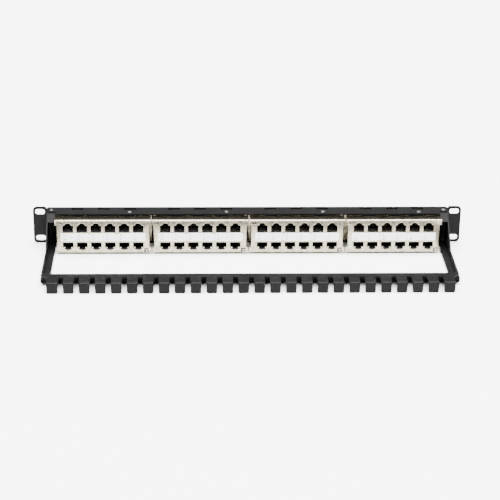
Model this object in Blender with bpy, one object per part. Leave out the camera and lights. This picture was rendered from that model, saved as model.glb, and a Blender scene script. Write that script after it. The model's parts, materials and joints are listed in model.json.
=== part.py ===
"""Rack patch panel, one rack unit high, with four feed-through cassettes and a rear cable manager.

The panel stands on its plate's bottom edge and on the tips of the comb. +Z is up, +X runs along the panel,
and the side that faces the room is -Y. Lengths are in millimetres, in the panel's own frame: x from its
middle, y back from the plate's rear face and z up from the plate's bottom edge. A cassette's x is counted
from the cassette's own middle.
"""

import math

import bmesh
import bpy
from mathutils import Vector

MM = 0.001
GAP = 0.3  # clearance between pieces that touch

# Front panel: a bent sheet with two rack ears.
PANEL_W = 482.6
PANEL_H = 43.7
SHEET = 1.6
BEND_IN = 0.8  # inside radius of every bend
BEND_STEPS = 4
EAR_INNER = 226.5  # half-width at which the ears begin
EAR_RADIUS = 4.2
RACK_HOLE_X = 233.4
RACK_HOLE_PITCH = 31.75
RACK_SLOT = (10.6, 6.6)
RACK_SLOT_RADIUS = 2.6
FLANGE_HALF = 224.2  # half-width of the top flange
FLANGE_DEPTH = 20.5
FLANGE_CORNER = (214.4, 13.4)  # the rear corners are cut away outside this x and behind this y
RELIEF_Z = 41.9  # floor of the bend relief beside each ear
FLANGE_SLOT = (13.4, 4.4)
FLANGE_SLOT_RADIUS = 0.6
FLANGE_SLOT_Y = 6.0
FLANGE_SLOT_PITCH = 29.35

# Cassettes.
CASSETTES = 4
CASSETTE_PITCH = 107.7
CASSETTE_HALF = 53.1
CASE_LOW, CASE_HIGH = 2.4, 41.1
REAR_Y = 32.6  # outer side of the rear face
SKIN = 0.8  # metal thickness of the case
SHIELD_FRONT_Y = 19.3
SIDE_NOTCH = 2.2
SIDE_NOTCH_Z = (8.4, 34.8)
TOP_WINDOW_Y = (20.6, 24.4)
FOUR_WINDOWS = ((-41.6, 7.6), (-14.0, 7.6), (14.0, 7.6), (41.6, 7.6))  # middle and half-width of each
WIDE_WINDOWS = ((-41.6, 7.6), (0.0, 23.3), (41.6, 7.6))
WIDE_CASSETTES = (2, 4)
CORNER_SLOT_X = (46.9, 49.3)
CORNER_SLOT_HALF = 0.6
CORNER_SLOT_Z = (36.6, 39.3)
WINDOW_HALF, WINDOW_LOW, WINDOW_HIGH = 50.2, 5.9, 37.5  # cut-out in the plate for one cassette
HOUSING_HALF = 49.6
HOUSING_LOW, HOUSING_HIGH = 3.6, 39.4
HOUSING_BACK = 26.0
LIP = (0.3, 1.3)  # depths of the lip that bears on the plate
SNAP_HALF = (5.6, 1.8)
BOARD_HALF = 46.0
BOARD_Z = (5.6, 37.4)
BOARD_Y = (14.6, 16.2)

# Sockets.
PORTS = 6
PORT_PITCH = 15.55
PORT_HALF = 5.88
# The notch for the plug's latch, as half outlines: distance from the middle, and distance past the shoulder.
PLAIN_NOTCH = ((3.2, 0.0), (3.2, 2.0))
UPPER_NOTCH = ((4.0, 0.0), (3.3, 1.4), (2.5, 1.7), (2.0, 2.8))
SPRING_TABS = ((4.7, 0.0), (4.4, -0.7), (3.5, -0.8), (3.2, 0.4))  # small tabs that touch the plug's shield
LOWER_NOTCH = SPRING_TABS + ((4.3, 1.0), (4.2, 1.6), (2.9, 2.2), (1.8, 2.7))
REAR_UPPER = (26.5, 34.9)
REAR_LOWER = (8.3, 14.6)
REAR_SOCKET_DEPTH = 12.0
REAR_JACK_HALF = 45.5
REAR_JACK_BACK = 18.0
REAR_UPPER_BODY = (22.6, 38.4)
REAR_LOWER_BODY = (4.7, 19.6)
FRONT_UPPER = (23.6, 31.6)
FRONT_LOWER = (11.8, 19.8)
FRONT_SOCKET_DEPTH = 13.0
FRONT_JACK_HALF = 48.4
FRONT_JACK_BACK = 13.6
FRONT_PROUD = 0.8  # the front sockets stand this far out of the plate
FRONT_UPPER_BODY = (22.0, 36.9)
FRONT_LOWER_BODY = (6.5, 21.5)

# Label.
LABEL_HALF = 46.8
LABEL_Z = (16.2, 25.85)
LABEL_THICKNESS = 0.4

# Catch: a sprung leaf with a thumb bar and a tail.
CATCH_X = -48.1
CATCH_WINDOW_HALF = 2.7
CATCH_WINDOW_Z = (2.9, 7.5)
CATCH_PIVOT = (30.5, 12.5)  # y and z
CATCH_LEAF = 0.6
CATCH_RISE = 0.6  # the leaf goes on above the pivot
CATCH_BAR_HALF = 1.75
CATCH_BAR_Z = (5.5, 6.2)
CATCH_NOSE_Y = 33.1
CATCH_TAIL_HALF = 0.7
CATCH_TAIL_Y = (31.6, 32.3)
CATCH_TAIL_LOW = 1.4
TAIL_WAY_HALF = 1.1
TAIL_WAY_FRONT = 27.5

# Countersunk screws.
HEAD_R, SHANK_R = 2.4, 1.4
HEAD_RIM, HEAD_DEPTH = 0.2, 1.2
SCREW_STEPS = 14
SEAT_R = 2.8  # radius of the seat in the flange's top
MANAGER_SCREW = (219.8, 7.3)
GROUND_SCREW_Y = 13.6

# Cable manager.
ARM_OUTER = 224.7
ARM_INNER = 215.7  # inner edge of the flange along an arm's foot
TAB_INNER = 215.3
ARM_SHEET = 1.5
ARM_FRONT = 2.0
ARM_LOW = 2.0
ARM_END = 114.0
ARM_STEP = 0.3  # the wall's upper edge stands back this far from the tab's face
TAB_TOP = PANEL_H - SHEET - GAP
TAB_DOWN = 11.5  # length of the tab's end on the slope
BAR_TOP = 12.3
BAR_HALF = 222.4
BAR_FRONT = 106.8
BAR_SHOULDER = 114.0
BAR_BACK = 133.6
RIB_Y, RIB_DROP = 111.3, 0.5  # the bar steps down in front of this line
LIP_HALF, LIP_LOW = 214.6, 0.2  # the lip that is bent down along the bar's front, between the arms
LIP_RELIEF = (0.6, 0.3)  # width of the bend relief at each end of the lip, and its length past the bend
ARM_TOP = BAR_TOP - RIB_DROP - ARM_SHEET - GAP
WELD_TAB = (108.5, 113.0)  # span of the tab under each end of the bar
WELD_RELIEF = 0.8
SLOPE_LOW, SLOPE_HIGH = (47.0, ARM_TOP), (13.2, TAB_TOP)
FINGERS = 26
FINGER_PITCH = 16.854
FINGER_GAP = 5.1
FINGER_TAPER = 0.25  # each side of a finger, at its tip
FINGER_RADIUS = 2.0
COMB_HALF = 217.3
COMB_SLOT_Y = 118.5

DEPTH_MIDDLE = (BAR_BACK - SHEET - FRONT_PROUD) / 2

MATERIALS = {
    "powder_coat": ((0.028, 0.028, 0.030, 1), 0.0, 0.5),
    "nickel": ((0.62, 0.60, 0.54, 1), 1.0, 0.32),
    "spring_steel": ((0.72, 0.71, 0.68, 1), 1.0, 0.25),
    "zinc": ((0.70, 0.70, 0.70, 1), 1.0, 0.3),
    "black_plastic": ((0.012, 0.012, 0.013, 1), 0.0, 0.45),
    "green_board": ((0.02, 0.14, 0.05, 1), 0.0, 0.4),
    "white_card": ((0.86, 0.87, 0.88, 1), 0.0, 0.6),
}


def clear_scene():
    for obj in list(bpy.data.objects):
        bpy.data.objects.remove(obj, do_unlink=True)


def make_materials():
    for name, (color, metallic, roughness) in MATERIALS.items():
        material = bpy.data.materials.new(name)
        material.use_nodes = True
        shader = material.node_tree.nodes["Principled BSDF"]
        shader.inputs["Base Color"].default_value = color
        shader.inputs["Metallic"].default_value = metallic
        shader.inputs["Roughness"].default_value = roughness


# ---------------------------------------------------------------- outlines


def rectangle(x0, z0, x1, z1):
    return [(x0, z0), (x1, z0), (x1, z1), (x0, z1)]


def centered(half_width, z_range):
    """A rectangle about x = 0."""
    return rectangle(-half_width, z_range[0], half_width, z_range[1])


def arc(center, radius, start, end, steps):
    """Points along an arc, with both ends, angles in degrees."""
    angles = [math.radians(start + (end - start) * i / steps) for i in range(steps + 1)]
    return [(center[0] + radius * math.cos(a), center[1] + radius * math.sin(a)) for a in angles]


def rounded_rectangle(cx, cz, width, height, radius, steps=3):
    dx, dz = width / 2 - radius, height / 2 - radius
    points = []
    for sx, sz, start in ((1, 1, 0), (-1, 1, 90), (-1, -1, 180), (1, -1, 270)):
        points += arc((cx + sx * dx, cz + sz * dz), radius, start, start + 90, steps)
    return points


def circle(cx, cz, radius, steps=SCREW_STEPS):
    return arc((cx, cz), radius, 0, 360 - 360 / steps, steps - 1)


def socket(cx, z_range, notch_up, notch):
    """Outline of a modular jack's mouth: a rectangle with a notch in its upper or its lower side."""
    low, high = z_range
    half = [(PORT_HALF, 0.0), *notch]
    rise = [(x, high + h) for x, h in half] if notch_up else [(x, low - h) for x, h in half]
    flat = low if notch_up else high
    right = [(cx + x, z) for x, z in rise]
    left = [(cx - x, z) for x, z in reversed(rise)]
    return right + left + [(cx - PORT_HALF, flat), (cx + PORT_HALF, flat)]


def sockets(z_range, notch_up, notch=PLAIN_NOTCH):
    centers = [(i - (PORTS - 1) / 2) * PORT_PITCH for i in range(PORTS)]
    return [socket(x, z_range, notch_up, notch) for x in centers]


# ---------------------------------------------------------------- solids


def add_object(name, data, origin, parent):
    obj = bpy.data.objects.new(name, data)
    obj.location = Vector(origin) * MM
    obj.parent = parent
    bpy.context.collection.objects.link(obj)
    return obj


def finish(name, bm, material, home, origin=(0, 0, 0), smooth=False):
    """Turns a bmesh in millimetres into a named object that hangs on its home empty."""
    bmesh.ops.remove_doubles(bm, verts=bm.verts, dist=1e-5)
    bmesh.ops.recalc_face_normals(bm, faces=bm.faces)
    for vertex in bm.verts:
        vertex.co = (vertex.co - Vector(origin)) * MM
    mesh = bpy.data.meshes.new(name)
    bm.to_mesh(mesh)
    bm.free()
    mesh.materials.append(bpy.data.materials[material])
    if smooth:
        mesh.shade_smooth()
        mesh.set_sharp_from_angle(angle=math.radians(35))
    return add_object(name, mesh, origin, home)


def ring(bm, points, to_3d, depth):
    vertices = [bm.verts.new(to_3d(u, v, depth)) for u, v in points]
    edges = [bm.edges.new((a, b)) for a, b in zip(vertices, vertices[1:] + vertices[:1])]
    return vertices, edges


def wall(bm, first, second):
    for a, b, c, d in zip(first, first[1:] + first[:1], second[1:] + second[:1], second):
        bm.faces.new((a, b, c, d))


def slab(outline, span, to_3d, holes=(), tapered=(), pockets=(), floor=None):
    """An outline swept over a span of depths.

    holes go right through, tapered holes are pairs of outlines (at the span's start and end), and pockets
    reach from the span's end down to the depth floor.
    """
    low, high = span
    bm = bmesh.new()
    low_edges, high_edges = [], []
    for low_points, high_points in [(outline, outline)] + [(hole, hole) for hole in holes] + list(tapered):
        lower, edges = ring(bm, low_points, to_3d, low)
        low_edges += edges
        upper, edges = ring(bm, high_points, to_3d, high)
        high_edges += edges
        wall(bm, upper, lower)
    for pocket in pockets:
        upper, edges = ring(bm, pocket, to_3d, high)
        high_edges += edges
        lower, _ = ring(bm, pocket, to_3d, floor)
        wall(bm, upper, lower)
        bm.faces.new(lower)
    for edges in (low_edges, high_edges):
        bmesh.ops.triangle_fill(bm, edges=edges, use_beauty=True)
    bmesh.ops.recalc_face_normals(bm, faces=bm.faces)
    return bm


def upright(u, v, depth):
    """An outline in x and z, swept along y."""
    return (u, depth, v)


def sideways(u, v, depth):
    """An outline in y and z, swept along x."""
    return (depth, u, v)


def level(u, v, depth):
    """An outline in x and y, swept along z."""
    return (u, v, depth)


def cut_lines(bm, axis, positions):
    """Adds edge lines across a sheet, so that it can bend along them."""
    normal = Vector([i == axis for i in range(3)])
    for position in positions:
        everything = bm.verts[:] + bm.edges[:] + bm.faces[:]
        point = normal * position
        bmesh.ops.bisect_plane(bm, geom=everything, plane_co=point, plane_no=normal, dist=1e-4)


def bend_stations(start, thickness):
    """Length of a quarter bend along the sheet's middle, and the positions of its edge lines."""
    length = math.pi / 2 * (BEND_IN + thickness / 2)
    return length, [start + length * i / BEND_STEPS for i in range(BEND_STEPS + 1)]


def bent(run, offset, length):
    """Where a point of a sheet goes in a quarter bend: (along the first leg, along the second leg).

    run is its distance past the start of the bend, and offset its distance from the bend's inner side.
    """
    reach = BEND_IN + offset
    if run <= 0:
        return run, -offset
    if run >= length:
        return reach, BEND_IN + run - length
    angle = math.pi / 2 * run / length
    return reach * math.sin(angle), BEND_IN - reach * math.cos(angle)


def combine(base, other, operation):
    """Adds a solid to the base or cuts it away."""
    other.hide_render = True
    other.display_type = "WIRE"
    modifier = base.modifiers.new(other.name, "BOOLEAN")
    modifier.operation = operation
    modifier.object = other


def unite(name, solids, material, home, origin=(0, 0, 0)):
    """Joins overlapping solids into one closed body."""
    base = finish(name, solids[0], material, home, origin)
    for index, bm in enumerate(solids[1:]):
        combine(base, finish(f"{name}_join_{index}", bm, material, home), "UNION")
    return base


def flush_screw(name, x, y, tip, home):
    """A countersunk screw in the panel's flange, turned about its own axis."""
    profile = [
        (0, PANEL_H),
        (HEAD_R, PANEL_H),
        (HEAD_R, PANEL_H - HEAD_RIM),
        (SHANK_R, PANEL_H - HEAD_DEPTH),
        (SHANK_R, tip),
        (0, tip),
    ]
    bm = bmesh.new()
    rows = []
    for radius, z in profile:
        points = circle(x, y, radius) if radius else [(x, y)]
        rows.append([bm.verts.new((px, py, z)) for px, py in points])
    for upper, lower in zip(rows, rows[1:]):
        for i in range(SCREW_STEPS):
            corners = [upper[i % len(upper)], upper[(i + 1) % SCREW_STEPS % len(upper)]]
            corners += [lower[(i + 1) % SCREW_STEPS % len(lower)], lower[i % len(lower)]]
            bm.faces.new(list(dict.fromkeys(corners)))
    return finish(name, bm, "zinc", home, smooth=True)


# ---------------------------------------------------------------- front panel


def cassette_centers():
    """Cassette 1 is at the left of someone who looks at the front."""
    return [(i - (CASSETTES - 1) / 2) * CASSETTE_PITCH for i in range(CASSETTES)]


def panel_outline(flange_end):
    """The flat blank. The flange continues the plate upwards and is bent back later."""
    half = PANEL_W / 2
    corner_x, corner_y = FLANGE_CORNER
    corner_end = flange_end - (FLANGE_DEPTH - corner_y)
    side = arc((half - EAR_RADIUS, EAR_RADIUS), EAR_RADIUS, -90, 0, 4)
    side += arc((half - EAR_RADIUS, PANEL_H - EAR_RADIUS), EAR_RADIUS, 0, 90, 4)
    side += [(EAR_INNER, PANEL_H), (EAR_INNER, RELIEF_Z), (FLANGE_HALF, RELIEF_Z)]
    side += [(FLANGE_HALF, corner_end), (corner_x, corner_end), (corner_x, flange_end)]
    return side + [(-x, z) for x, z in reversed(side)]


def screw_seats(to_flat):
    """Countersinks in the flange, as pairs of circles on the blank's outer and inner side."""
    screw_x, screw_y = MANAGER_SCREW
    places = [(-screw_x, screw_y), (screw_x, screw_y)]
    places += [(center - FLANGE_SLOT_PITCH, GROUND_SCREW_Y) for center in cassette_centers()]
    return [(circle(x, y + to_flat, SEAT_R), circle(x, y + to_flat, SHANK_R + GAP)) for x, y in places]


def front_panel(home):
    bend_start = PANEL_H - SHEET - BEND_IN
    length, stations = bend_stations(bend_start, SHEET)
    to_flat = bend_start + length - BEND_IN  # add this to a depth on the flange to find it on the blank
    holes = []
    for side in (-1, 1):
        for row in (-1, 1):
            z = PANEL_H / 2 + row * RACK_HOLE_PITCH / 2
            holes.append(rounded_rectangle(side * RACK_HOLE_X, z, *RACK_SLOT, RACK_SLOT_RADIUS))
    for center in cassette_centers():
        holes.append(rectangle(center - WINDOW_HALF, WINDOW_LOW, center + WINDOW_HALF, WINDOW_HIGH))
        for step in (-1, 0, 1):
            x = center + step * FLANGE_SLOT_PITCH
            holes.append(rounded_rectangle(x, FLANGE_SLOT_Y + to_flat, *FLANGE_SLOT, FLANGE_SLOT_RADIUS, 1))
    outline = panel_outline(FLANGE_DEPTH + to_flat)
    bm = slab(outline, (-SHEET, 0), upright, holes, screw_seats(to_flat))
    cut_lines(bm, 2, stations)
    for vertex in bm.verts:
        x, y, z = vertex.co
        if abs(x) < (FLANGE_HALF + EAR_INNER) / 2 and z > bend_start:
            rise, back = bent(z - bend_start, -y, length)
            vertex.co = (x, back, bend_start + rise)
    return finish("front_panel", bm, "powder_coat", home)


# ---------------------------------------------------------------- cassettes


def shield_outline(front):
    """The flat blank of the rear face and the top, with the catch's tail way open at its bottom edge."""
    inner = CASSETTE_HALF - SIDE_NOTCH
    notch_low, notch_high = SIDE_NOTCH_Z
    side = [(CASSETTE_HALF, CASE_LOW), (CASSETTE_HALF, notch_low), (inner, notch_low), (inner, notch_high)]
    side += [(CASSETTE_HALF, notch_high), (CASSETTE_HALF, front)]
    low, high = CATCH_WINDOW_Z
    left, right = CATCH_X - CATCH_WINDOW_HALF, CATCH_X + CATCH_WINDOW_HALF
    way_left, way_right = CATCH_X - TAIL_WAY_HALF, CATCH_X + TAIL_WAY_HALF
    mouth = [(way_left, CASE_LOW), (way_left, low), (left, low), (left, high)]
    mouth += [(right, high), (right, low), (way_right, low), (way_right, CASE_LOW)]
    return side + [(-x, z) for x, z in reversed(side)] + mouth


def rear_shield(name, windows, home):
    """The rear face and the top of the case in one bent sheet, with side walls and a floor."""
    bend_start = CASE_HIGH - SKIN - BEND_IN
    length, stations = bend_stations(bend_start, SKIN)
    to_flat = bend_start + length - BEND_IN + REAR_Y  # a depth y on the top becomes to_flat - y on the blank
    holes = sockets(REAR_UPPER, True, UPPER_NOTCH) + sockets(REAR_LOWER, False, LOWER_NOTCH)
    slot_low, slot_high = CORNER_SLOT_Z
    for x in CORNER_SLOT_X:
        holes.append(rectangle(x - CORNER_SLOT_HALF, slot_low, x + CORNER_SLOT_HALF, slot_high))
    window_high, window_low = [to_flat - y for y in TOP_WINDOW_Y]
    for x, half in windows:
        holes.append(rectangle(x - half, window_low, x + half, window_high))
    inside = REAR_Y - SKIN
    skin = slab(shield_outline(to_flat - SHIELD_FRONT_Y), (inside, REAR_Y), upright, holes)
    cut_lines(skin, 2, stations)
    for vertex in skin.verts:
        x, y, z = vertex.co
        if z > bend_start:
            rise, forward = bent(z - bend_start, y - inside, length)
            vertex.co = (x, inside - forward, bend_start + rise)
    # Side walls and floor are one channel, which reaches half a thickness into the face and the top.
    inner = CASSETTE_HALF - SIDE_NOTCH
    top = CASE_HIGH - SKIN / 2
    side = [(inner, CASE_LOW), (inner, top), (inner - SKIN, top), (inner - SKIN, CASE_LOW + SKIN)]
    channel = side + [(-x, z) for x, z in reversed(side)]
    walls = slab(channel, (SHIELD_FRONT_Y, REAR_Y - SKIN / 2), upright)
    shield = unite(name, [skin, walls], "nickel", home)
    way_left, way_right = CATCH_X - TAIL_WAY_HALF, CATCH_X + TAIL_WAY_HALF
    way = rectangle(way_left, TAIL_WAY_FRONT, way_right, REAR_Y + SKIN)
    cutter = slab(way, (CASE_LOW - SKIN, CASE_LOW + 1.5 * SKIN), level)
    combine(shield, finish(f"{name}_tail_way", cutter, "nickel", home), "DIFFERENCE")


def front_housing(name, home):
    """The front half of the case: a sleeve, a lip that bears on the plate, and two snap tabs."""
    bore = rectangle(SKIN - HOUSING_HALF, HOUSING_LOW + SKIN, HOUSING_HALF - SKIN, HOUSING_HIGH - SKIN)
    lip_front, lip_back = LIP
    sleeve_span = ((lip_front + lip_back) / 2, HOUSING_BACK)
    sleeve = slab(centered(HOUSING_HALF, (HOUSING_LOW, HOUSING_HIGH)), sleeve_span, upright, [bore])
    lip = slab(centered(CASSETTE_HALF, (CASE_LOW, CASE_HIGH)), LIP, upright, [bore])
    solids = [sleeve, lip]
    snap_x, snap_y = SNAP_HALF
    for x in (-FLANGE_SLOT_PITCH, FLANGE_SLOT_PITCH):
        pad = rectangle(x - snap_x, FLANGE_SLOT_Y - snap_y, x + snap_x, FLANGE_SLOT_Y + snap_y)
        solids.append(slab(pad, (HOUSING_HIGH - SKIN / 2, CASE_HIGH), level))
    unite(name, solids, "nickel", home)


def jack_block(name, half, z_range, back, mouth, floor, mouths, home):
    """A moulded row of sockets, open at the depth mouth and closed at the depth floor."""
    block = slab(centered(half, z_range), (back, mouth), upright, pockets=mouths, floor=floor)
    finish(name, block, "black_plastic", home)


def jack_blocks(prefix, home):
    mouth = REAR_Y - SKIN - GAP
    floor = mouth - REAR_SOCKET_DEPTH
    rear = (REAR_JACK_BACK, mouth, floor)
    upper, lower = sockets(REAR_UPPER, True), sockets(REAR_LOWER, False)
    jack_block(f"{prefix}_rear_jacks_upper", REAR_JACK_HALF, REAR_UPPER_BODY, *rear, upper, home)
    jack_block(f"{prefix}_rear_jacks_lower", REAR_JACK_HALF, REAR_LOWER_BODY, *rear, lower, home)
    mouth = -SHEET - FRONT_PROUD
    floor = mouth + FRONT_SOCKET_DEPTH
    front = (FRONT_JACK_BACK, mouth, floor)
    upper, lower = sockets(FRONT_UPPER, True), sockets(FRONT_LOWER, False)
    jack_block(f"{prefix}_front_jacks_upper", FRONT_JACK_HALF, FRONT_UPPER_BODY, *front, upper, home)
    jack_block(f"{prefix}_front_jacks_lower", FRONT_JACK_HALF, FRONT_LOWER_BODY, *front, lower, home)


def circuit_board(name, home):
    finish(name, slab(centered(BOARD_HALF, BOARD_Z), BOARD_Y, upright), "green_board", home)


def label_card(name, home):
    front = REAR_Y + GAP
    card = slab(centered(LABEL_HALF, LABEL_Z), (front, front + LABEL_THICKNESS), upright)
    finish(name, card, "white_card", home)


def catch(name, home):
    """A sprung leaf behind the rear face, with a thumb bar in its window and a tail below the case."""
    pivot_y, pivot_z = CATCH_PIVOT
    front, back = pivot_y - CATCH_LEAF / 2, pivot_y + CATCH_LEAF / 2
    bar_low, bar_high = CATCH_BAR_Z
    top = pivot_z + CATCH_RISE
    leaf = [(front, top), (front, bar_low), (CATCH_NOSE_Y, bar_low), (CATCH_NOSE_Y, bar_high)]
    leaf += [(back, bar_high), (back, top)]
    tail_front, tail_back = CATCH_TAIL_Y
    tail = rectangle(tail_front, CATCH_TAIL_LOW, tail_back, (bar_low + bar_high) / 2)
    solids = [
        slab(leaf, (CATCH_X - CATCH_BAR_HALF, CATCH_X + CATCH_BAR_HALF), sideways),
        slab(tail, (CATCH_X - CATCH_TAIL_HALF, CATCH_X + CATCH_TAIL_HALF), sideways),
    ]
    unite(name, solids, "spring_steel", home, origin=(CATCH_X, pivot_y, pivot_z))


def cassette(number, home):
    prefix = f"cassette_{number}"
    windows = WIDE_WINDOWS if number in WIDE_CASSETTES else FOUR_WINDOWS
    rear_shield(f"{prefix}_rear_shield", windows, home)
    front_housing(f"{prefix}_front_housing", home)
    jack_blocks(prefix, home)
    circuit_board(f"{prefix}_circuit_board", home)
    label_card(f"{prefix}_label_card", home)
    catch(f"{prefix}_catch", home)


# ---------------------------------------------------------------- cable manager


def arm_wall(outer, side):
    """The upright side of an arm, between its folds."""
    fold = ARM_SHEET + 1.5 * BEND_IN
    low, under = ARM_LOW + fold, ARM_TOP - fold
    relief = WELD_TAB[0] - WELD_RELIEF
    (low_y, low_z), (high_y, high_z) = SLOPE_LOW, SLOPE_HIGH
    outline = [(high_y, high_z - ARM_STEP), (ARM_FRONT, high_z - ARM_STEP), (ARM_FRONT, low), (ARM_END, low)]
    outline += [(ARM_END, under), (relief, under), (relief, low_z - ARM_STEP), (low_y, low_z - ARM_STEP)]
    return slab(outline, (side * (outer - ARM_SHEET), side * outer), sideways)


def arm_fold(outer, side, edge, turn, inner, span):
    """An inward fold of the wall, which meets it above (turn -1) or below (turn 1) the height edge."""
    reach = BEND_IN + ARM_SHEET
    bend = (outer - reach, -reach)
    profile = arc(bend, reach, 0, 90, 4) + [(inner, 0), (inner, -ARM_SHEET)]
    profile += arc(bend, BEND_IN, 90, 0, 3)
    profile += [(outer - ARM_SHEET, -reach - BEND_IN), (outer, -reach - BEND_IN)]
    return slab([(side * x, edge + turn * z) for x, z in profile], span, upright)


def arm_tab(outer, side):
    """The tab of an arm, level under the panel's flange and then down the slope."""
    (low_y, low_z), (high_y, high_z) = SLOPE_LOW, SLOPE_HIGH
    slope = math.atan2(high_z - low_z, low_y - high_y)
    end_y, end_z = high_y + TAB_DOWN * math.cos(slope), high_z - TAB_DOWN * math.sin(slope)
    knee = ARM_SHEET * math.tan(slope / 2)
    outline = [(ARM_FRONT, TAB_TOP), (ARM_FRONT, TAB_TOP - ARM_SHEET), (high_y - knee, TAB_TOP - ARM_SHEET)]
    outline += [(end_y - ARM_SHEET * math.sin(slope), end_z - ARM_SHEET * math.cos(slope))]
    outline += [(end_y, end_z), (high_y, TAB_TOP)]
    return slab(outline, (side * TAB_INNER, side * (outer - ARM_SHEET / 4)), sideways)


def arm(name, side, home):
    """One side of the manager: a wall with a flange along its foot and a tab at each end of its top."""
    flange = arm_fold(ARM_OUTER, side, ARM_LOW, -1, ARM_INNER, (ARM_FRONT + 1, ARM_END - 1))
    weld_tab = arm_fold(ARM_OUTER, side, ARM_TOP, 1, TAB_INNER, WELD_TAB)
    pieces = [arm_wall(ARM_OUTER, side), flange, weld_tab, arm_tab(ARM_OUTER, side)]
    body = unite(name, pieces, "powder_coat", home)
    screw_x, screw_y = MANAGER_SCREW
    hole = circle(side * screw_x, screw_y, SHANK_R + GAP)
    cutter = slab(hole, (TAB_TOP - 2 * ARM_SHEET, TAB_TOP + ARM_SHEET), level)
    combine(body, finish(f"{name}_screw_hole", cutter, "powder_coat", home), "DIFFERENCE")


def comb_outline(tip, lip_bend, lip_end):
    """The bar's flat blank, with its fingers straight back and its lip straight forward."""
    relief_x, relief_y = LIP_HALF + LIP_RELIEF[0], lip_bend + LIP_RELIEF[1]
    side = [(LIP_HALF, lip_end), (LIP_HALF, relief_y), (relief_x, relief_y), (relief_x, BAR_FRONT)]
    side += [(BAR_HALF, BAR_FRONT), (BAR_HALF, BAR_SHOULDER), (COMB_HALF, COMB_SLOT_Y)]
    points = [(-x, y) for x, y in reversed(side)] + side
    gaps = [((FINGERS - 2) / 2 - i) * FINGER_PITCH for i in range(FINGERS - 1)]
    rights = [COMB_HALF] + [x - FINGER_GAP / 2 for x in gaps]
    lefts = [x + FINGER_GAP / 2 for x in gaps] + [-COMB_HALF]
    inset = FINGER_TAPER + FINGER_RADIUS
    for right, left in zip(rights, lefts):
        if right != COMB_HALF:
            points.append((right, COMB_SLOT_Y))
        points += arc((right - inset, tip - FINGER_RADIUS), FINGER_RADIUS, 0, 90, 3)
        points += arc((left + inset, tip - FINGER_RADIUS), FINGER_RADIUS, 90, 180, 3)
        if left != -COMB_HALF:
            points.append((left, COMB_SLOT_Y))
    return points


def comb_bar(home):
    """The bar across the rear, a channel with a lip in front and a comb of fingers behind."""
    bend_start = BAR_BACK - ARM_SHEET - BEND_IN
    length, stations = bend_stations(bend_start, ARM_SHEET)
    under = BAR_TOP - ARM_SHEET
    tip = bend_start + length + under - BEND_IN
    lip_bend = BAR_FRONT + ARM_SHEET + BEND_IN
    lip_end = lip_bend - length - (under - RIB_DROP - LIP_LOW - BEND_IN)
    lip_stations = [lip_bend + bend_start - station for station in stations]
    bm = slab(comb_outline(tip, lip_bend, lip_end), (under, BAR_TOP), level)
    cut_lines(bm, 1, lip_stations + [RIB_Y - 2 * RIB_DROP, RIB_Y] + stations)
    for vertex in bm.verts:
        x, y, z = vertex.co
        if y < lip_bend and abs(x) < LIP_HALF + LIP_RELIEF[0] / 2:
            forward, drop = bent(lip_bend - y, z - under, length)
            vertex.co = (x, lip_bend - forward, under - RIB_DROP - drop)
        elif y < RIB_Y - RIB_DROP:
            vertex.co = (x, y, z - RIB_DROP)
        if y > bend_start:
            back, drop = bent(y - bend_start, z - under, length)
            vertex.co = (x, bend_start + back, under - drop)
    return finish("comb_bar", bm, "powder_coat", home)


# ---------------------------------------------------------------- assembly


def main():
    clear_scene()
    make_materials()
    home = add_object("panel_home", None, (0, -DEPTH_MIDDLE, 0), None)
    front_panel(home)
    for number, center in enumerate(cassette_centers(), start=1):
        slide_home = add_object(f"cassette_{number}_home", None, (center, 0, 0), home)
        cassette(number, slide_home)
        screw = f"cassette_{number}_ground_screw"
        flush_screw(screw, center - FLANGE_SLOT_PITCH, GROUND_SCREW_Y, CASE_HIGH + GAP, home)
    screw_x, screw_y = MANAGER_SCREW
    for name, side in (("left", -1), ("right", 1)):
        arm(f"manager_arm_{name}", side, home)
        flush_screw(f"manager_screw_{name}", side * screw_x, screw_y, TAB_TOP - 2 * ARM_SHEET, home)
    comb_bar(home)


main()
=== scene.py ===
import json
import math

import bmesh
import bpy
from mathutils import Matrix, Vector


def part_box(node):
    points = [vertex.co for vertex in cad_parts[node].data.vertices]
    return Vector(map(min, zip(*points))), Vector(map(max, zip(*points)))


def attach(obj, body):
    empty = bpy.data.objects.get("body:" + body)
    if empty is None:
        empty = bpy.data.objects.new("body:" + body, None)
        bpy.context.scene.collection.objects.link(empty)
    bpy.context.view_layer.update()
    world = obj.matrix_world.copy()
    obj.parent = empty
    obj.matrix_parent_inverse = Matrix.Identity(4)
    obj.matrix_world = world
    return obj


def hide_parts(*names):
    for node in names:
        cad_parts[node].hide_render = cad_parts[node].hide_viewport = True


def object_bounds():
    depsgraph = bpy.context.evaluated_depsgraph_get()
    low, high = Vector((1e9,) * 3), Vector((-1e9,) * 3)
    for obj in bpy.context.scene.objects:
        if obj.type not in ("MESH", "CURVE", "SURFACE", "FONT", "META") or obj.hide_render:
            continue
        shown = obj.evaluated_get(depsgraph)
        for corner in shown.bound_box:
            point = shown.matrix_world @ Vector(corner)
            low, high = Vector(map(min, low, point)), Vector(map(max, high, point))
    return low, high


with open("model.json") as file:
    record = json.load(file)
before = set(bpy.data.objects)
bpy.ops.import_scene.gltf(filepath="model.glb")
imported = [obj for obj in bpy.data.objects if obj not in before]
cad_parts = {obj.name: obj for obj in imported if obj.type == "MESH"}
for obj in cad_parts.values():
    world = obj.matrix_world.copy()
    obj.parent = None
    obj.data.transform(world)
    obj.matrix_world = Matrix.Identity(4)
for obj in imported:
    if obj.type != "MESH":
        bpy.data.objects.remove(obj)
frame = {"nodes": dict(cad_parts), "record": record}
cad_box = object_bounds()

# Lengths are in millimetres, in the panel's own frame: x from its middle, y back from the plate's rear face
# and z up. Inside a cassette, x is counted from the cassette's own middle.
MM = 0.001
SHEET = 1.6
PLATE_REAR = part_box("front_panel")[0].y / MM + SHEET

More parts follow.
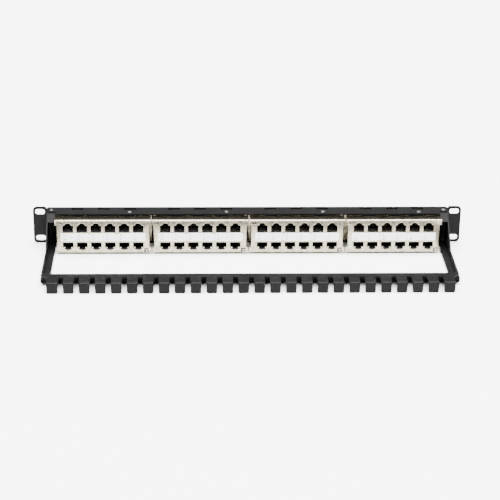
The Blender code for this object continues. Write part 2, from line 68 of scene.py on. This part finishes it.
PARTS = frame["record"]["subparts"]
SLOT_OF = {part["node"]: part["material_slot"] for part in PARTS}
BODIES = frame["record"]["behaviour"]["bodies"]
BODY_OF = {node: body for body, nodes in BODIES.items() for node in nodes}
CASSETTES = (1, 2, 3, 4)

# Sockets.
PORTS = 6
PORT_PITCH = 15.55
PORT_HALF = 5.88
PORT_X = [(i - (PORTS - 1) / 2) * PORT_PITCH for i in range(PORTS)]
REAR_UPPER, REAR_LOWER = (26.5, 34.9), (8.3, 14.6)
FRONT_UPPER, FRONT_LOWER = (23.6, 31.6), (11.8, 19.8)
FRONT_Y = -2.4  # mouths of the front sockets
CONTACTS = 8
CONTACT_PITCH = 1.02
CONTACT_W, CONTACT_T = 0.46, 0.3
CONTACT_DEPTHS = (4.6, 11.2)  # from the mouth to a contact's foot and to its far end
CONTACT_FOOT, CONTACT_RISE, CONTACT_TOE = 0.7, 3.4, 0.8
LEDGE_HALF = 5.6
LEDGES = ((1.4, 3.4, 0.95, 0.35), (4.2, 6.4, 2.2, 0.3))  # nearer and farther depth, height, thickness

# Rear face of a cassette.
REAR_Y = 32.6
SUNK = 0.1  # how far a pressed detail reaches into the face
RIM_SPAN = (REAR_Y - 0.15, REAR_Y + 0.3)
# Half outlines of the rim round an upper socket's notch: x from the socket's middle, and z.
RIM_INNER = ((PORT_HALF, 34.9), (4.0, 34.9), (3.3, 36.3), (2.5, 36.6), (2.0, 37.7))
RIM_OUTER = ((PORT_HALF, 35.4), (4.35, 35.4), (3.65, 36.75), (2.85, 37.05), (2.4, 38.2))
LOWER_RIM_HALF, LOWER_RIM_Z = 2.1, (4.8, 5.25)
FRAME_PROUD = 0.35
FRAME_X = (47.3, 48.3)  # inner and outer edge of the label's frame
RAIL_Z, RAIL_HALF = (26.1, 15.7), 0.2
FRAME_END_Z = (15.95, 25.85)
CORNER_LINE_X, CORNER_LINE_Z, CORNER_LINE_PROUD = (45.7, 52.9), (35.55, 35.9), 0.3
LABEL_Y = 33.3
LABEL_HALF = 46.8
LABEL_Z = (16.2, 25.85)
LABEL_ROWS = (23.3, 18.4)  # middles of the two rows of numbers
LABEL_DIVIDER = 20.85
NUMBER_SIZE = 3.5
NUMBER_X = 3.7  # from the port's middle
LINE_HALF = 0.09
LINE_SPAN = (LABEL_Y - 0.02, LABEL_Y + 0.015)
LINE_INSET, CELL_INSET = 0.4, 0.2
LANCE_X, LANCE_Z = 15.5, (25.5, 16.5)
LANCE_SIZE = (1.35, 0.42, 0.75)
PRINT_LIFT = 0.01

# Numbers on the front of the plate.
FRONT_NUMBER_SIZE = 2.6
FRONT_NUMBER_Z = (39.4, 3.9)

# Screws.
HEAD_R, SHANK_R = 2.4, 1.4
HEAD_RIM, HEAD_DEPTH = 0.2, 1.2
HEAD_EASE = (0.12, 0.1)  # width and height of the head's eased edge
TIP_EASE = 0.3
DRIVE_ARM, DRIVE_HALF, DRIVE_DEPTH = 1.5, 0.33, 0.8
DRIVE_TURN = 0.4
SCREW_STEPS = 40

# Studio: brightness at the horizon and overhead, and the heights between which it fades.
HORIZON, ZENITH = 3.5, 0.13
SKY_FADE = (0.04, 0.20)
LIGHT_ENERGY, LIGHT_SPREAD, LIGHT_TILT = 27, 70, -6
FLOOR_HALF = 8.0
CAMERA_YAW, CAMERA_PITCH, CAMERA_ROLL = 2.25, 24.2, 0.78
CAMERA_DISTANCE, CAMERA_RIGHT, CAMERA_UP = 1837.8, 2.73, -8.90
CAMERA_LENS, CAMERA_SENSOR = 116.5, 36


def center_x(number):
    low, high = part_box(f"cassette_{number}_rear_shield")
    return (low.x + high.x) / 2 / MM


# ---------------------------------------------------------------- materials


def node_tree(name):
    material = bpy.data.materials.new(name)
    material.use_nodes = True
    return material, material.node_tree.nodes, material.node_tree.links


def noise(nodes, links, scale, detail=3.0, roughness=0.5, stretch=(1, 1, 1)):
    """A noise over the object's own coordinates. scale is in features per metre."""
    coordinates = nodes.new("ShaderNodeTexCoord")
    mapping = nodes.new("ShaderNodeMapping")
    mapping.inputs["Scale"].default_value = stretch
    links.new(coordinates.outputs["Object"], mapping.inputs["Vector"])
    texture = nodes.new("ShaderNodeTexNoise")
    texture.inputs["Scale"].default_value = scale
    texture.inputs["Detail"].default_value = detail
    texture.inputs["Roughness"].default_value = roughness
    links.new(mapping.outputs["Vector"], texture.inputs["Vector"])
    return texture.outputs["Fac"]


def ramp(nodes, links, source, low, high, start=0.3, end=0.7):
    """Maps a noise to a range of values or colours."""
    mapper = nodes.new("ShaderNodeValToRGB")
    mapper.color_ramp.elements[0].position = start
    mapper.color_ramp.elements[1].position = end
    for element, value in zip(mapper.color_ramp.elements, (low, high)):
        element.color = (*value, 1) if isinstance(value, tuple) else (value, value, value, 1)
    links.new(source, mapper.inputs["Fac"])
    return mapper.outputs["Color"]


def bump(nodes, links, shader, layers):
    """Stacks bumps, given as (height output, depth in millimetres, strength)."""
    normal = None
    for height, depth, strength in layers:
        node = nodes.new("ShaderNodeBump")
        node.inputs["Distance"].default_value = depth * MM
        node.inputs["Strength"].default_value = strength
        links.new(height, node.inputs["Height"])
        if normal:
            links.new(normal, node.inputs["Normal"])
        normal = node.outputs["Normal"]
    links.new(normal, shader.inputs["Normal"])


def powder_coat():
    """Black powder paint: a fine orange peel over a finer grain."""
    material, nodes, links = node_tree("powder_coat_fine")
    shader = nodes["Principled BSDF"]
    shader.inputs["Specular IOR Level"].default_value = 0.07
    cloud = noise(nodes, links, 45, 4)
    color = ramp(nodes, links, cloud, (0.0032, 0.003, 0.0032), (0.0046, 0.0044, 0.0046))
    links.new(color, shader.inputs["Base Color"])
    peel = noise(nodes, links, 900, 2)
    grain = noise(nodes, links, 3200, 3, 0.6)
    links.new(ramp(nodes, links, peel, 0.40, 0.56), shader.inputs["Roughness"])
    bump(nodes, links, shader, [(peel, 0.10, 0.5), (grain, 0.04, 0.6)])
    return material


def plated(name, dark, light, rough):
    """Plated sheet metal with soft blotches and a fine rolled grain."""
    material, nodes, links = node_tree(name)
    shader = nodes["Principled BSDF"]
    shader.inputs["Metallic"].default_value = 1.0
    blotch = noise(nodes, links, 210, 5, 0.62)
    links.new(ramp(nodes, links, blotch, dark, light, 0.34, 0.66), shader.inputs["Base Color"])
    haze = noise(nodes, links, 520, 4, 0.6)
    links.new(ramp(nodes, links, haze, *rough), shader.inputs["Roughness"])
    grain = noise(nodes, links, 2600, 3, 0.6)
    bump(nodes, links, shader, [(haze, 0.03, 0.5), (grain, 0.015, 0.4)])
    return material


def moulded(name, dark, light, rough):
    """Spark-eroded moulded plastic."""
    material, nodes, links = node_tree(name)
    shader = nodes["Principled BSDF"]
    shader.inputs["Specular IOR Level"].default_value = 0.2
    cloud = noise(nodes, links, 160, 3)
    links.new(ramp(nodes, links, cloud, dark, light), shader.inputs["Base Color"])
    texture = noise(nodes, links, 1500, 3, 0.6)
    links.new(ramp(nodes, links, texture, *rough), shader.inputs["Roughness"])
    bump(nodes, links, shader, [(texture, 0.03, 0.5)])
    return material


def circuit_green():
    """Green solder resist over copper tracks, which show as slightly lighter lines."""
    material, nodes, links = node_tree("circuit_green")
    shader = nodes["Principled BSDF"]
    shader.inputs["Roughness"].default_value = 0.35
    tracks = nodes.new("ShaderNodeTexBrick")
    tracks.inputs["Scale"].default_value = 300
    tracks.inputs["Color1"].default_value = (0.012, 0.10, 0.035, 1)
    tracks.inputs["Color2"].default_value = (0.015, 0.12, 0.04, 1)
    tracks.inputs["Mortar"].default_value = (0.03, 0.20, 0.07, 1)
    coordinates = nodes.new("ShaderNodeTexCoord")
    turn = nodes.new("ShaderNodeMapping")
    turn.inputs["Rotation"].default_value = (math.pi / 2, 0, 0)
    links.new(coordinates.outputs["Object"], turn.inputs["Vector"])
    links.new(turn.outputs["Vector"], tracks.inputs["Vector"])
    links.new(tracks.outputs["Color"], shader.inputs["Base Color"])
    bump(nodes, links, shader, [(noise(nodes, links, 700, 3), 0.02, 0.5)])
    return material


def paper():
    """Matt white card with a faint fibre."""
    material, nodes, links = node_tree("label_paper")
    shader = nodes["Principled BSDF"]
    fibre = noise(nodes, links, 900, 4, 0.6, (0.4, 1, 1))
    links.new(ramp(nodes, links, fibre, (0.84, 0.85, 0.87), (0.90, 0.91, 0.92)), shader.inputs["Base Color"])
    links.new(ramp(nodes, links, fibre, 0.55, 0.7), shader.inputs["Roughness"])
    bump(nodes, links, shader, [(fibre, 0.02, 0.4)])
    return material


def ink(name, dark, light):
    material, nodes, links = node_tree(name)
    shader = nodes["Principled BSDF"]
    spread = noise(nodes, links, 2500, 3)
    links.new(ramp(nodes, links, spread, dark, light), shader.inputs["Base Color"])
    links.new(ramp(nodes, links, spread, 0.5, 0.65), shader.inputs["Roughness"])
    return material


MATERIALS = {
    "powder_coat": powder_coat(),
    "nickel": plated("nickel_plate", (0.23, 0.205, 0.15), (0.44, 0.40, 0.305), (0.15, 0.27)),
    "spring_steel": plated("spring_steel_plate", (0.30, 0.28, 0.24), (0.45, 0.43, 0.38), (0.16, 0.28)),
    "zinc": plated("zinc_plate", (0.17, 0.17, 0.17), (0.30, 0.30, 0.30), (0.24, 0.38)),
    "black_plastic": moulded("black_nylon", (0.010, 0.009, 0.009), (0.016, 0.015, 0.015), (0.38, 0.55)),
    "green_board": circuit_green(),
    "white_card": paper(),
}
GOLD = plated("contact_gold", (0.45, 0.30, 0.11), (0.60, 0.42, 0.18), (0.22, 0.34))
LEDGE = moulded("grey_nylon", (0.016, 0.015, 0.015), (0.024, 0.023, 0.023), (0.35, 0.5))
LABEL_INK = ink("label_ink", (0.05, 0.05, 0.055), (0.09, 0.09, 0.095))
LINE_INK = ink("label_line_ink", (0.25, 0.25, 0.27), (0.35, 0.35, 0.37))
PRINT_INK = ink("print_white", (0.66, 0.66, 0.66), (0.76, 0.76, 0.76))


# ---------------------------------------------------------------- mesh tools


def place(x, y, z):
    """Row-frame metres of a point in the panel's millimetres."""
    return Vector((x * MM, (y + PLATE_REAR) * MM, z * MM))


def piece(name, bm, material, body, x_offset=0.0):
    """Turns a bmesh in millimetres into a piece that rides on a body."""
    bmesh.ops.recalc_face_normals(bm, faces=bm.faces)
    for vertex in bm.verts:
        vertex.co = place(vertex.co.x + x_offset, vertex.co.y, vertex.co.z)
    mesh = bpy.data.meshes.new(name)
    bm.to_mesh(mesh)
    bm.free()
    mesh.materials.append(material)
    obj = bpy.data.objects.new(name, mesh)
    bpy.context.collection.objects.link(obj)
    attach(obj, body)
    return obj


def round_edges(obj, width, segments=2):
    """Rounds sharp edges, and keeps flat faces flat in the shading."""
    obj.data.shade_smooth()
    edges = obj.modifiers.new("edges", "BEVEL")
    edges.width = width * MM
    edges.segments = segments
    edges.limit_method = "ANGLE"
    edges.angle_limit = math.radians(35)
    edges.miter_outer = "MITER_ARC"
    normals = obj.modifiers.new("normals", "WEIGHTED_NORMAL")
    normals.keep_sharp = True


def box_solid(bm, x_range, y_range, z_range):
    corners = [bm.verts.new((x, y, z)) for x in x_range for y in y_range for z in z_range]
    for face in ((0, 1, 3, 2), (4, 6, 7, 5), (0, 4, 5, 1), (2, 3, 7, 6), (0, 2, 6, 4), (1, 5, 7, 3)):
        bm.faces.new([corners[i] for i in face])


def prism(bm, outline, span, upright=True):
    """Sweeps a closed outline along y (an outline in x and z) or along x (an outline in y and z)."""
    rings = []
    for depth in span:
        points = [(u, depth, v) if upright else (depth, u, v) for u, v in outline]
        rings.append([bm.verts.new(point) for point in points])
    first, second = rings
    for a, b, c, d in zip(first, first[1:] + first[:1], second[1:] + second[:1], second):
        bm.faces.new((a, b, c, d))
    for ring in rings:
        edges = [bm.edges.get((a, b)) for a, b in zip(ring, ring[1:] + ring[:1])]
        bmesh.ops.triangle_fill(bm, edges=edges, use_beauty=True)


def fine_copy(node, width, segments=2):
    """Stands for a CAD node: the same shape with rounded edges."""
    bm = bmesh.new()
    bm.from_mesh(frame["nodes"][node].data)
    bmesh.ops.remove_doubles(bm, verts=bm.verts, dist=1e-6)
    mesh = bpy.data.meshes.new(f"{node}_finish")
    bm.to_mesh(mesh)
    bm.free()
    mesh.materials.append(MATERIALS[SLOT_OF[node]])
    obj = bpy.data.objects.new(f"{node}_finish", mesh)
    bpy.context.collection.objects.link(obj)
    round_edges(obj, width, segments)
    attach(obj, BODY_OF[node])
    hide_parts(node)


def add_text(bm, text, size, x, y, z, rear, thickness=0.03):
    """Adds a number as thin closed letters, upright on a face that looks to the rear or to the front."""
    curve = bpy.data.curves.new("number", "FONT")
    curve.body = text
    curve.size = size
    curve.align_x = "CENTER"
    curve.align_y = "CENTER"
    curve.extrude = thickness / 2
    curve.resolution_u = 3
    source = bpy.data.objects.new("number", curve)
    mesh = bpy.data.meshes.new_from_object(source)
    side = -1 if rear else 1
    turn = Matrix(((side, 0, 0, x), (0, 0, -side, y), (0, 1, 0, z), (0, 0, 0, 1)))
    mesh.transform(turn)
    bm.from_mesh(mesh)
    bpy.data.meshes.remove(mesh)
    bpy.data.objects.remove(source)
    bpy.data.curves.remove(curve)


def arc(cx, cz, radius, start, end, steps):
    angles = [math.radians(start + (end - start) * i / steps) for i in range(steps + 1)]
    return [(cx + radius * math.cos(a), cz + radius * math.sin(a)) for a in angles]


# ---------------------------------------------------------------- sheet metal and screws


def structure():
    for node in ("front_panel", "comb_bar", "manager_arm_left", "manager_arm_right"):
        fine_copy(node, 0.3, 3)


def screw(node):
    """A countersunk screw with a cross recess."""
    low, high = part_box(node)
    middle_x, middle_y = (low.x + high.x) / 2 / MM, (low.y + high.y) / 2 / MM - PLATE_REAR
    top, tip = high.z / MM, low.z / MM
    bm = bmesh.new()
    rows = []
    profile = [(HEAD_R - HEAD_EASE[0], top), (HEAD_R, top - HEAD_EASE[1]), (HEAD_R, top - HEAD_RIM)]
    profile += [(SHANK_R, top - HEAD_DEPTH), (SHANK_R, tip + TIP_EASE), (SHANK_R - TIP_EASE, tip)]
    for radius, z in profile:
        ring = arc(middle_x, middle_y, radius, 0, 360 - 360 / SCREW_STEPS, SCREW_STEPS - 1)
        rows.append([bm.verts.new((x, y, z)) for x, y in ring])
    for upper, lower in zip(rows, rows[1:]):
        for i in range(SCREW_STEPS):
            j = (i + 1) % SCREW_STEPS
            bm.faces.new((upper[i], upper[j], lower[j], lower[i]))
    bm.faces.new(rows[-1])
    cross = []
    for turn in range(4):
        angle = turn * math.pi / 2 + DRIVE_TURN
        c, s = math.cos(angle), math.sin(angle)
        for u, v in ((DRIVE_HALF, -DRIVE_HALF), (DRIVE_ARM, -DRIVE_HALF), (DRIVE_ARM, DRIVE_HALF)):
            cross.append((middle_x + u * c - v * s, middle_y + u * s + v * c))
    mouth = [bm.verts.new((x, y, top)) for x, y in cross]
    floor = [bm.verts.new(((x + middle_x) / 2, (y + middle_y) / 2, top - DRIVE_DEPTH)) for x, y in cross]
    edges = [bm.edges.new((a, b)) for a, b in zip(mouth, mouth[1:] + mouth[:1])]
    for i in range(len(cross)):
        j = (i + 1) % len(cross)
        bm.faces.new((mouth[i], mouth[j], floor[j], floor[i]))
    bm.faces.new(floor)
    rim = [bm.edges.get((a, b)) for a, b in zip(rows[0], rows[0][1:] + rows[0][:1])]
    bmesh.ops.triangle_fill(bm, edges=rim + edges, use_beauty=True)
    obj = piece(f"{node}_finish", bm, MATERIALS["zinc"], BODY_OF[node])
    obj.data.shade_smooth()
    obj.data.set_sharp_from_angle(angle=math.radians(30))
    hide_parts(node)


def screws():
    for node in [n for n in SLOT_OF if SLOT_OF[n] == "zinc"]:
        screw(node)


# ---------------------------------------------------------------- cassettes


def notch_rims(number):
    """A raised rim round the notch of each upper socket, and a pressed line under each lower one."""
    bm = bmesh.new()
    for x in PORT_X:
        rim = [(x + u, v) for u, v in RIM_OUTER] + [(x - u, v) for u, v in RIM_OUTER[::-1]]
        rim += [(x - u, v) for u, v in RIM_INNER] + [(x + u, v) for u, v in RIM_INNER[::-1]]
        prism(bm, rim, RIM_SPAN)
        box_solid(bm, (x - LOWER_RIM_HALF, x + LOWER_RIM_HALF), RIM_SPAN, LOWER_RIM_Z)
    body = f"cassette_{number}"
    obj = piece(f"{body}_notch_rims", bm, MATERIALS["nickel"], body, center_x(number))
    round_edges(obj, 0.12)


def shield_details(number):
    """The label's frame and lances, and a pressed line beside the corner slots."""
    body = f"cassette_{number}"
    x0 = center_x(number)
    bm = bmesh.new()
    frame_span = (REAR_Y - SUNK, REAR_Y + FRAME_PROUD)
    inner, outer = FRAME_X
    for z in RAIL_Z:
        box_solid(bm, (-outer, outer), frame_span, (z - RAIL_HALF, z + RAIL_HALF))
    for side in (-1, 1):
        box_solid(bm, sorted((side * inner, side * outer)), frame_span, FRAME_END_Z)
    box_solid(bm, CORNER_LINE_X, (REAR_Y - SUNK, REAR_Y + CORNER_LINE_PROUD), CORNER_LINE_Z)
    obj = piece(f"{body}_pressings", bm, MATERIALS["nickel"], body, x0)
    round_edges(obj, 0.1)
    bm = bmesh.new()
    for x in (-LANCE_X, LANCE_X):
        for z in LANCE_Z:
            shape = Matrix.Translation((x, LABEL_Y + 0.02, z)) @ Matrix.Diagonal((*LANCE_SIZE, 1))
            bmesh.ops.create_uvsphere(bm, u_segments=20, v_segments=12, radius=1.0, matrix=shape)
    obj = piece(f"{body}_label_lances", bm, MATERIALS["nickel"], body, x0)
    obj.data.shade_smooth()


def label_print(number):
    """Generic port numbers on the label, and the lines between its cells."""
    body = f"cassette_{number}"
    bm = bmesh.new()
    for i, x in enumerate(PORT_X):
        upper = PORTS * (number - 1) + 1 + i
        for text, z in ((upper, LABEL_ROWS[0]), (upper + PORTS * len(CASSETTES), LABEL_ROWS[1])):
            add_text(bm, str(text), NUMBER_SIZE, x + NUMBER_X, LABEL_Y + PRINT_LIFT, z, rear=True)
    piece(f"{body}_label_numbers", bm, LABEL_INK, body, center_x(number))
    bm = bmesh.new()
    reach = LABEL_HALF - LINE_INSET
    below, above = LABEL_DIVIDER - LINE_HALF, LABEL_DIVIDER + LINE_HALF
    box_solid(bm, (-reach, reach), LINE_SPAN, (below, above))
    for left, right in zip(PORT_X, PORT_X[1:]):
        x = (left + right) / 2
        for z_range in ((LABEL_Z[0] + CELL_INSET, below), (above, LABEL_Z[1] - CELL_INSET)):
            box_solid(bm, (x - LINE_HALF, x + LINE_HALF), LINE_SPAN, z_range)
    piece(f"{body}_label_lines", bm, LINE_INK, body, center_x(number))


def contact_row(bm, x, mouth, inward, z_range, notch_up):
    """Eight spring wires that slant from the mouth to the back of one socket."""
    low, high = z_range
    rise = 1 if notch_up else -1
    foot = low + CONTACT_FOOT if notch_up else high - CONTACT_FOOT
    start, end = [mouth + inward * depth for depth in CONTACT_DEPTHS]
    for k in range(CONTACTS):
        cx = x + (k - (CONTACTS - 1) / 2) * CONTACT_PITCH
        wire = [(start, foot), (end, foot + rise * CONTACT_RISE)]
        wire += [(end, foot + rise * (CONTACT_RISE + CONTACT_T))]
        wire += [(start + inward * CONTACT_TOE, foot + rise * (0.33 + CONTACT_T))]
        wire += [(start, foot + rise * CONTACT_T)]
        prism(bm, wire, (cx - CONTACT_W / 2, cx + CONTACT_W / 2), upright=False)


def contacts(number):
    """Gold contacts and the ledges in front of them, in every socket."""
    body = f"cassette_{number}"
    x0 = center_x(number)
    rows = (
        ("rear_upper", REAR_Y, -1, REAR_UPPER, True),
        ("rear_lower", REAR_Y, -1, REAR_LOWER, False),
        ("front_upper", FRONT_Y, 1, FRONT_UPPER, True),
        ("front_lower", FRONT_Y, 1, FRONT_LOWER, False),
    )
    for name, mouth, inward, z_range, notch_up in rows:
        low, high = z_range
        gold = bmesh.new()
        ledge = bmesh.new()
        for x in PORT_X:
            contact_row(gold, x, mouth, inward, z_range, notch_up)
            for near, far, height, thickness in LEDGES:
                z = low + height if notch_up else high - height
                y_range = sorted((mouth + inward * near, mouth + inward * far))
                box_solid(ledge, (x - LEDGE_HALF, x + LEDGE_HALF), y_range, (z - thickness, z))
        piece(f"{body}_{name}_contacts", gold, GOLD, body, x0)
        obj = piece(f"{body}_{name}_ledges", ledge, LEDGE, body, x0)
        round_edges(obj, 0.08)


def cassette(number):
    prefix = f"cassette_{number}"
    fine_copy(f"{prefix}_rear_shield", 0.14)
    fine_copy(f"{prefix}_front_housing", 0.12)
    for row in ("rear_jacks_upper", "rear_jacks_lower", "front_jacks_upper", "front_jacks_lower"):
        fine_copy(f"{prefix}_{row}", 0.18)
    fine_copy(f"{prefix}_label_card", 0.08)
    fine_copy(f"{prefix}_circuit_board", 0.1)
    fine_copy(f"{prefix}_catch", 0.12)
    notch_rims(number)
    shield_details(number)
    label_print(number)
    contacts(number)


def front_numbers():
    """Generic port numbers printed on the plate, above and below the sockets."""
    bm = bmesh.new()
    face = -SHEET - PRINT_LIFT
    above, below = FRONT_NUMBER_Z
    for number in CASSETTES:
        x0 = center_x(number)
        for i, x in enumerate(PORT_X):
            upper = PORTS * (number - 1) + 1 + i
            lower = upper + PORTS * len(CASSETTES)
            add_text(bm, str(upper), FRONT_NUMBER_SIZE, x0 + x, face, above, rear=False)
            add_text(bm, str(lower), FRONT_NUMBER_SIZE, x0 + x, face, below, rear=False)
    piece("front_numbers", bm, PRINT_INK, "panel")


# ---------------------------------------------------------------- studio


def floor():
    bm = bmesh.new()
    bmesh.ops.create_grid(bm, x_segments=1, y_segments=1, size=FLOOR_HALF)
    mesh = bpy.data.meshes.new("floor")
    bm.to_mesh(mesh)
    bm.free()
    material, nodes, links = node_tree("floor_paper")
    shader = nodes["Principled BSDF"]
    cloud = noise(nodes, links, 3, 2)
    links.new(ramp(nodes, links, cloud, (0.90, 0.90, 0.90), (0.92, 0.92, 0.92)), shader.inputs["Base Color"])
    shader.inputs["Roughness"].default_value = 0.6
    mesh.materials.append(material)
    obj = bpy.data.objects.new("floor", mesh)
    obj.location.z = cad_box[0][2]
    bpy.context.collection.objects.link(obj)


def overhead_light():
    """One very soft light from above, as bright on the whole floor as it is on the object."""
    light = bpy.data.lights.new("overhead", "SUN")
    light.energy = LIGHT_ENERGY
    light.angle = math.radians(LIGHT_SPREAD)
    obj = bpy.data.objects.new("overhead", light)
    obj.rotation_euler = (math.radians(LIGHT_TILT), 0, 0)
    bpy.context.collection.objects.link(obj)


def lights():
    world = bpy.data.worlds.new("studio")
    world.use_nodes = True
    nodes, links = world.node_tree.nodes, world.node_tree.links
    direction = nodes.new("ShaderNodeTexCoord")
    height = nodes.new("ShaderNodeSeparateXYZ")
    links.new(direction.outputs["Generated"], height.inputs["Vector"])
    sky = ramp(nodes, links, height.outputs["Z"], HORIZON, ZENITH, *SKY_FADE)
    links.new(sky, nodes["Background"].inputs["Color"])
    bpy.context.scene.world = world
    overhead_light()


def camera():
    """Looks down at the rear of the panel from the angle and the distance of the photograph."""
    yaw, pitch, roll = [math.radians(angle) for angle in (CAMERA_YAW, CAMERA_PITCH, CAMERA_ROLL)]
    back = Vector((math.sin(yaw) * math.cos(pitch), math.cos(yaw) * math.cos(pitch), math.sin(pitch)))
    right = Vector((-math.cos(yaw), math.sin(yaw), 0))
    up = back.cross(right)
    across = math.cos(roll) * right + math.sin(roll) * up
    upward = -math.sin(roll) * right + math.cos(roll) * up
    eye = back * CAMERA_DISTANCE + across * CAMERA_RIGHT + upward * CAMERA_UP
    data = bpy.data.cameras.new("camera")
    data.sensor_width = CAMERA_SENSOR
    data.lens = CAMERA_LENS
    obj = bpy.data.objects.new("camera", data)
    turn = Matrix((across, upward, back)).transposed().to_4x4()
    obj.matrix_world = Matrix.Translation(place(*eye)) @ turn
    bpy.context.collection.objects.link(obj)
    bpy.context.scene.camera = obj


camera()
floor()
lights()
structure()
screws()
for cassette_number in CASSETTES:
    cassette(cassette_number)
front_numbers()
